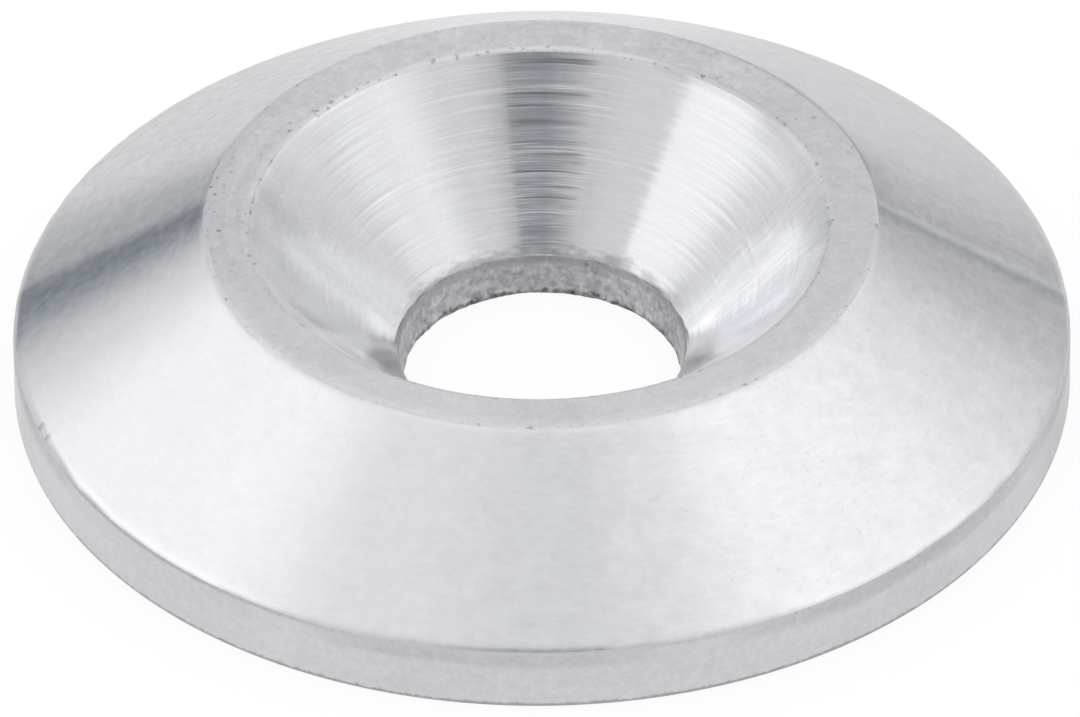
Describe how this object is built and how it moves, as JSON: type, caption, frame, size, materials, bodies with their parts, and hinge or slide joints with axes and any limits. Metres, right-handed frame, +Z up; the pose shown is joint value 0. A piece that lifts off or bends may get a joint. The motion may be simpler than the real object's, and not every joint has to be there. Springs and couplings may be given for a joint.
{
  "type": "finishing cup washer",
  "caption": "Solid turned finishing cup washer: a low conical ring with a straight rim, a flat land and a ninety-degree countersink that seats a flat-head screw.",
  "frame": {"origin": "on the washer's axis, in the plane of the flat base", "axes": "+Z up along the axis, from the base to the countersink's mouth; X and Y lie in the base"},
  "size_m": [0.024, 0.024, 0.0045],
  "materials": {
    "turned_steel": "bright as turned, fine lathe rings"
  },
  "bodies": {
    "root": {"cup_washer": "turned_steel"}
  },
  "joints": []
}
